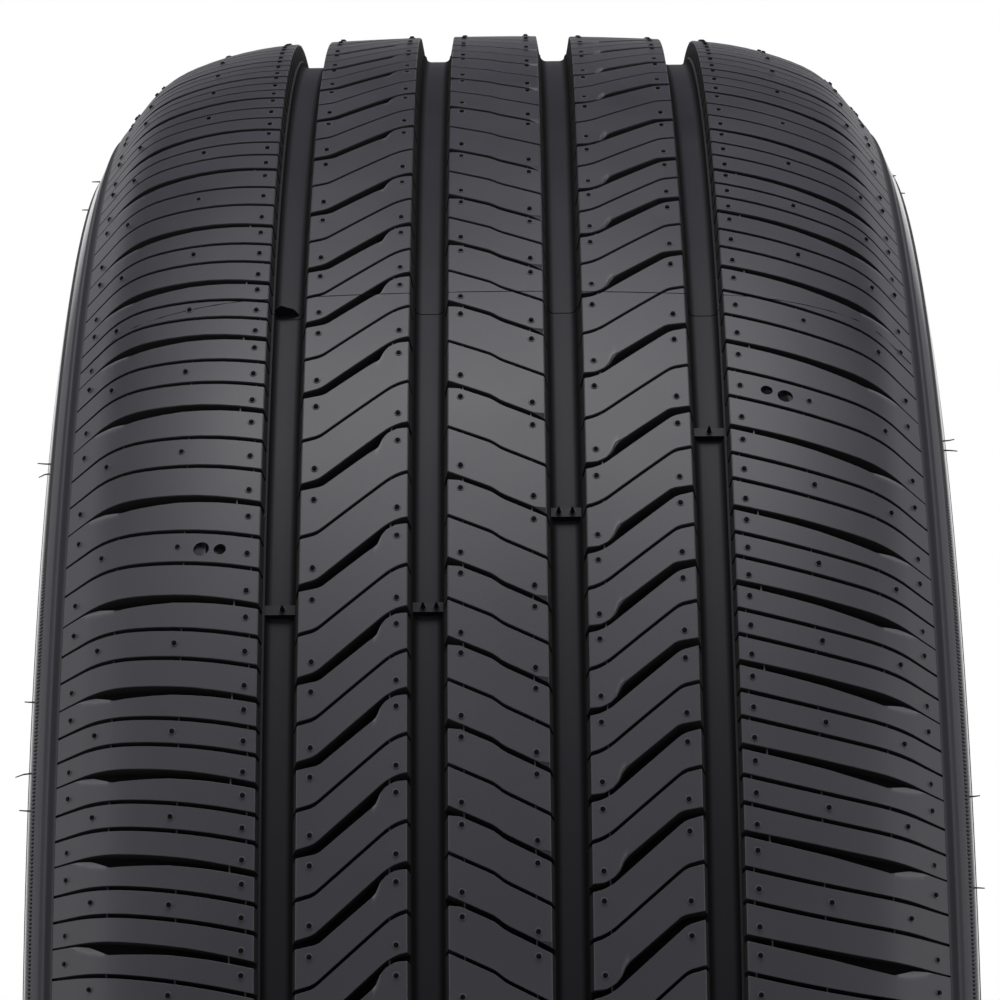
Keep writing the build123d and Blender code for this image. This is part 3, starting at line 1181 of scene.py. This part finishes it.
half_path = np.vstack((
    on_tread(0, 4, 8, 12.2),
    groove_bed(inner_groove),
    on_tread(22.4, 29, 36, 43, 48.9),
    groove_bed(outer_groove),
    on_tread(59.1, 66, 73, 80, 87, 94, 100, 105, 109),
))
flash_path = np.vstack((half_path[:0:-1] * (-1, 1), half_path))
flash_run = np.gradient(flash_path, axis=0)
flash_out = np.column_stack((-flash_run[:, 1], flash_run[:, 0]))
flash_out /= np.linalg.norm(flash_out, axis=1)[:, None]
flash_blocks = Blocks()
flash_blocks.loft([
    [
        (r - flash_root * rise, y - flash_root * out, -flash_half),
        (r + flash_height * rise, y + flash_height * out, 0),
        (r - flash_root * rise, y - flash_root * out, flash_half),
    ]
    for (y, r), (out, rise) in zip(flash_path, flash_out)
])
flash = repeat("mould_flash", flash_blocks, flash_count, flash_angle, pip_rubber)

# %% [markdown]
# In one groove the fin has torn and a ragged flap of it stands up from the bed. It is a single thin
# sheet whose upper edge is irregular, so its heights are simply listed.

# %% A torn flap of flash
flap_edge = [
    (-57.8, 1.5), (-57.0, 2.6), (-55.9, 3.4), (-54.6, 2.9), (-52.9, 2.25), (-52.2, 1.5), (-51.3, 0.2)
]
flap_half, flap_lead = 0.12, 1.9
flap_floor = float(tread_radius(outer_groove)) - groove_depth
flap_blocks = Blocks()
flap_blocks.loft([
    bar_section(y, flap_floor - flash_root, flap_floor + rise, -flap_half, flap_half) for y, rise in flap_edge
])
flap = repeat("torn_flash", flap_blocks, 1, flash_angle + flap_lead / crown, pip_rubber)

# %% [markdown]
# The sidewalls carry a band of fine radial ridges in a shallow recess, over a thousand on each side,
# so each ridge has only a few faces. A ridge has a flat top and leans: it stands out further at its
# lower end.

# %% Serrated bands of the sidewalls
ridge_count = 1800
ridge_half, ridge_top_half, ridge_root, ridge_shade = 0.32, 0.24, 0.1, 0.25
ridge_ends = [(serration_middle - serration_half, 0.95), (serration_middle + serration_half, 0.45)]
sides = ((-1, "left"), (1, "right"))
serrations = []
for side, name in sides:
    sections = []
    for radius, rise in ridge_ends:
        floor_reach = side_reach(radius) - serration_sunk
        sections.append([
            (radius, side * (floor_reach - ridge_root), -ridge_half),
            (radius, side * (floor_reach + rise), -ridge_top_half),
            (radius, side * (floor_reach + rise), ridge_top_half),
            (radius, side * (floor_reach - ridge_root), ridge_half),
        ])
    blocks = Blocks()
    # Each ridge gets a painted highlight and a little painted shade, which also keeps the sidewall's coat off
    # it.
    blocks.loft(sections, [[1] * 4] * 2, [[ridge_shade] * 4] * 2)
    serrations.append(repeat(f"{name}_serrations", blocks, ridge_count, 0, side_rubber))

# %% [markdown]
# A few vent hairs that nobody trimmed stand out from the sides. Each is a thin tapering rod that may
# droop or rise towards its tip, so three rings are enough. One sector's hairs are listed, and
# the ring tree repeats them round the tyre.

# %% Vent hairs of the sidewalls
hair_sectors, hair_radius, hair_sides = 5, 0.26, 6
hair_sunk, hair_taper = 0.4, 0.4
low_root, high_root = 290.0, 296.0
# Each hair has an angle, the radius of its root, a length and how far it rises for its length
left_hairs = [
    (76.3, high_root, 2.4, 0.0),
    (74.0, low_root, 2.4, 0.0),
    (44.7, low_root, 3.2, 0.1),
    (44.0, low_root, 2.8, -0.5),
    (29.6, low_root, 2.4, 0.1),
    (25.7, low_root, 4.2, -0.6),
    (23.7, low_root, 2.6, 0.2),
]
right_hairs = [
    (75.8, high_root, 0.9, 0.0),
    (76.7, low_root, 1.9, 0.0),
    (45.8, low_root, 2.8, 0.2),
    (45.1, low_root, 3.4, -0.1),
    (24.0, low_root, 2.4, 0.3),
    (19.3, low_root, 2.6, -0.2),
]
hair_spokes = spokes((1, 0, 0), (0, 0, 1), hair_sides)
hairs = []
for (side, name), spots in zip(sides, (left_hairs, right_hairs)):
    blocks = Blocks()
    for angle, root, length, lift in spots:
        c, s = cos(radians(angle)), sin(radians(angle))
        rings = []
        for share in (0, 0.5, 1):
            out = share * length - hair_sunk * (1 - share)
            radius = root + lift * length * share**2
            thickness = hair_radius * (1 - hair_taper * share)
            middle = np.array((radius * c, side * (side_reach(root) + out), radius * s))
            rings.append(middle + thickness * hair_spokes)
        blocks.loft(rings)
    hairs.append(repeat(f"{name}_vent_hairs", blocks, hair_sectors, 0, pip_rubber))

# %% [markdown]
# Two pairs of round holes are sunk into the shoulders, where the mould had gauge pins. A Boolean
# modifier cuts them, and its result is kept as a plain mesh, as the node trees' results are.

# %% Gauge holes in the shoulders
hole_depth, pin_segments = 1.1, 24
hole_zero = radians(7.67)
left_holes = [(-73.6, 150.2, 2.0), (-68.9, 149.5, 1.55)]
right_holes = [(68.8, 199.0, 1.55), (73.5, 197.7, 2.0)]


def sink_holes(piece, holes):
    """Cuts round holes: each has a place across, a place along the tread and a radius."""
    work = bmesh.new()
    for y, s, radius in holes:
        angle = s / crown + hole_zero
        surface = float(tread_radius(y))
        turn = Matrix.Rotation(pi / 2 - angle, 4, "Y")
        place = Matrix.Translation((surface * cos(angle) * mm, y * mm, surface * sin(angle) * mm))
        bmesh.ops.create_cone(
            work, cap_ends=True, segments=pin_segments, radius1=radius * mm, radius2=radius * mm,
            depth=2 * hole_depth * mm, matrix=place @ turn,
        )
    pins = bpy.data.meshes.new("pins")
    work.to_mesh(pins)
    work.free()
    pins.materials.append(shaded_bed_rubber)
    pin_object = place_object("pins", pins)
    cut = piece.modifiers.new("holes", "BOOLEAN")
    cut.object, cut.operation, cut.solver, cut.material_mode = pin_object, "DIFFERENCE", "EXACT", "TRANSFER"
    keep_mesh(piece)
    bpy.data.objects.remove(pin_object)


sink_holes(left_shoulder, left_holes)
sink_holes(right_shoulder, right_holes)

# %% [markdown]
# The last cells set the stage. The floor is pale and fades into a white room, so that no edge of it
# shows. A dull paint is mixed with a clear shader, and the distance from the middle says how much.

# %% Floor
stage_radius, stage_sides, fade_start, fade_end = 2.2, 96, 0.7, 2.0
floor_tone, floor_roughness = (0.86, 0.86, 0.86, 1), 0.9


def stage_paint(name, tone, roughness):
    """A dull paint, and the node that mixes it with clear: its input 0 says how clear it is."""
    paint = bpy.data.materials.new(name)
    paint.use_nodes = True
    tree = paint.node_tree
    shader = tree.nodes["Principled BSDF"]
    fill(shader, {"Base Color": tone, "Roughness": roughness, "Specular IOR Level": 0.0})
    clear = add_node(tree, "ShaderNodeBsdfTransparent")
    mixed = add_node(tree, "ShaderNodeMixShader", {1: shader, 2: clear})
    fill(tree.nodes["Material Output"], {"Surface": mixed})
    return paint, mixed


floor_mesh = bpy.data.meshes.new("floor")
work = bmesh.new()
bmesh.ops.create_circle(work, cap_ends=True, radius=stage_radius, segments=stage_sides)
work.to_mesh(floor_mesh)
work.free()
floor_mesh.transform(Matrix.Translation((0, 0, cad_low.z)))
floor = place_object("floor", floor_mesh)
floor_paint, mixed = stage_paint("floor_paint", floor_tone, floor_roughness)
tree = floor_paint.node_tree
here = add_node(tree, "ShaderNodeTexCoord").outputs["Object"]
distance = add_node(tree, "ShaderNodeVectorMath", {0: here}, operation="LENGTH").outputs["Value"]
fade = add_node(
    tree,
    "ShaderNodeMapRange",
    {"Value": distance, "From Min": fade_start, "From Max": fade_end},
    interpolation_type="SMOOTHSTEP",
)
fill(mixed, {0: fade})
floor_mesh.materials.append(floor_paint)
print("floor lies at", round(cad_low.z, 4), "m and fades out by", fade_end, "m")

# %% [markdown]
# Photographers hang a dark cloth, a flag, where a shiny thing should not mirror the bright room. This
# one is half of a cone, behind and above the tyre, and keeps the room's white out of the upper tread.
# The camera looks straight through it, because its paint is clear to camera rays.

# %% A dark flag behind the tyre
flag_foot, flag_top = (1.7, 1.03), (0.4, 2.1)
flag_sweep = np.radians(np.linspace(95, 265, 18))
flag_tone, flag_roughness = (0.03, 0.03, 0.03, 1), 1.0
flag_mesh = bpy.data.meshes.new("flag")
flag_points = [(r * cos(a), r * sin(a), z) for a in flag_sweep for r, z in (flag_foot, flag_top)]
flag_faces = [(i, i + 1, i + 3, i + 2) for i in range(0, len(flag_points) - 2, 2)]
flag_mesh.from_pydata(flag_points, [], flag_faces)
flag = place_object("flag", flag_mesh)
flag_cloth, mixed = stage_paint("flag_cloth", flag_tone, flag_roughness)
rays = add_node(flag_cloth.node_tree, "ShaderNodeLightPath").outputs
fill(mixed, {0: rays["Is Camera Ray"]})
flag_mesh.materials.append(flag_cloth)
print("flag has", len(flag_faces), "faces")

# %% [markdown]
# The room is white where it is seen or mirrored, but it lights the rubber only a little, so that the
# lamps decide where the tread is bright. A Light Path node tells these rays apart.

# %% World
room_light = 0.12
world = bpy.data.worlds.new("white_room")
bpy.context.scene.world = world
world.use_nodes = True
tree = world.node_tree
rays = add_node(tree, "ShaderNodeLightPath").outputs
seen = math_node(tree, "MAXIMUM", rays["Is Camera Ray"], rays["Is Glossy Ray"])
seen = math_node(tree, "MAXIMUM", seen, rays["Is Transmission Ray"])
strength = add_node(tree, "ShaderNodeMapRange", {"Value": seen, "To Min": room_light, "To Max": 1.0})
fill(tree.nodes["Background"], {"Color": (1, 1, 1, 1), "Strength": strength})
print("the room lights the rubber with a strength of", room_light)

# %% [markdown]
# One broad light hangs overhead, a little in front, and two weaker ones stand at the sides to lift the
# shoulders. The camera is as far away as the photograph's was, and a touch off the middle and rolled.

# %% Lights
overhead_place, overhead_target = (0.48, 0, 1.75), (0.24, 0, 0.22)
overhead_size, overhead_power = (1.5, 0.6), 26.5
side_place, side_target = (0.55, 1.7, 0.35), (0.2, 0, 0.05)
side_size, side_power = (1.0, 1.6), 8.2


def soft_light(name, place, target, size, power):
    """A rectangular soft light that faces a point."""
    lamp = bpy.data.lights.new(name, "AREA")
    lamp.shape = "RECTANGLE"
    lamp.size, lamp.size_y = size
    lamp.energy = power
    lamp_object = bpy.data.objects.new(name, lamp)
    lamp_object.location = place
    lamp_object.rotation_euler = (Vector(target) - Vector(place)).to_track_quat("-Z", "Y").to_euler()
    bpy.context.scene.collection.objects.link(lamp_object)
    print(name, "of", power, "W")


soft_light("overhead_light", overhead_place, overhead_target, overhead_size, overhead_power)
for side, name in sides:
    x, y, z = side_place
    soft_light(f"{name}_light", (x, side * y, z), side_target, side_size, side_power)

# %% Camera
camera_distance, camera_climb, camera_side = 1.450, 0.1338, 0.0036
camera_turn, camera_roll = -0.00245, 0.0094
camera_lens, sensor_width = 168.3, 36.0
backwards = Vector((1, -sin(camera_turn), 0)).normalized()
upwards = Matrix.Rotation(-camera_roll, 3, backwards) @ Vector((0, 0, 1))
rightwards = upwards.cross(backwards)
camera = bpy.data.objects.new("camera", bpy.data.cameras.new("camera"))
camera.data.lens = camera_lens
camera.data.sensor_width = sensor_width
axes = Matrix((rightwards, upwards, backwards)).transposed().to_4x4()
spot = Vector((camera_distance * cos(camera_climb), camera_side, camera_distance * sin(camera_climb)))
camera.matrix_world = Matrix.Translation(spot) @ axes
bpy.context.scene.collection.objects.link(camera)
bpy.context.scene.camera = camera
bpy.context.scene.view_settings.view_transform = "Standard"
print("camera", camera_lens, "mm lens at", camera_distance, "m")

# %% [markdown]
# Every piece rides on the tyre's one body. The lands and the carcass together stand for the CAD solid,
# which is then hidden.

# %% Attach the pieces and hide the CAD solid
lands = [left_shoulder, left_rib, centre_rib, right_rib, right_shoulder]
marks = [left_shoulder_marks, left_rib_marks, centre_rib_marks, right_rib_marks, right_shoulder_marks]
trim = [*wear_bars, flash, flap, *serrations, *hairs]
for piece in [carcass, *lands, *marks, *trim]:
    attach(piece, "root")
for piece in [carcass, *lands]:
    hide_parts("tyre")
